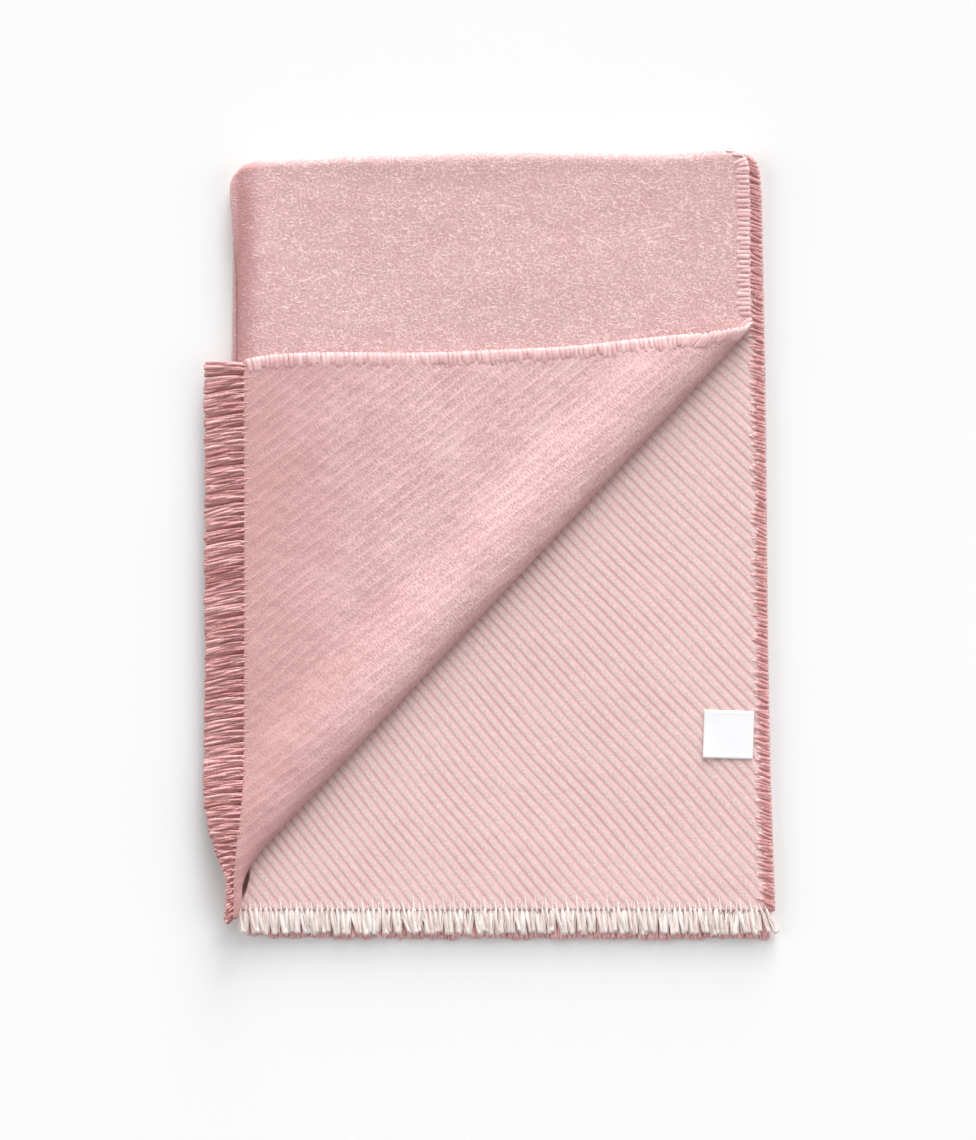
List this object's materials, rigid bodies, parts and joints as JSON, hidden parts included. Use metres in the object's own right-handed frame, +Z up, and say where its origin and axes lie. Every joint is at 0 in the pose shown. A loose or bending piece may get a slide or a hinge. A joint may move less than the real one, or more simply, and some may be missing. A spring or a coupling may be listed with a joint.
{
  "type": "folded wool throw",
  "caption": "Wool throw folded in half both ways, with fringed ends, whip-stitched sides, a sewn label and the front right corner turned back over the stack",
  "frame": {"origin": "bottom centre of the whole outline, fringes included, on the surface that the throw lies on", "axes": "+X to the right seen from above, +Y from the fringed front towards the back fold (longest), +Z up (shortest)"},
  "size_m": [0.6975, 0.9682, 0.0312],
  "materials": {
    "wool_rose": "brushed double-faced wool, rose outside and paler inside, matte",
    "yarn_white": "plied off-white wool yarn, matte",
    "yarn_rose": "plied rose wool yarn, matte",
    "label_white": "plain woven white tape, matte"
  },
  "bodies": {
    "root": {"throw": "wool_rose", "fringe_second_layer": "yarn_white", "fringe_flap": "yarn_rose", "fringe_third_layer": "yarn_rose", "fringe_bottom_layer": "yarn_rose", "label": "label_white"}
  },
  "joints": []
}
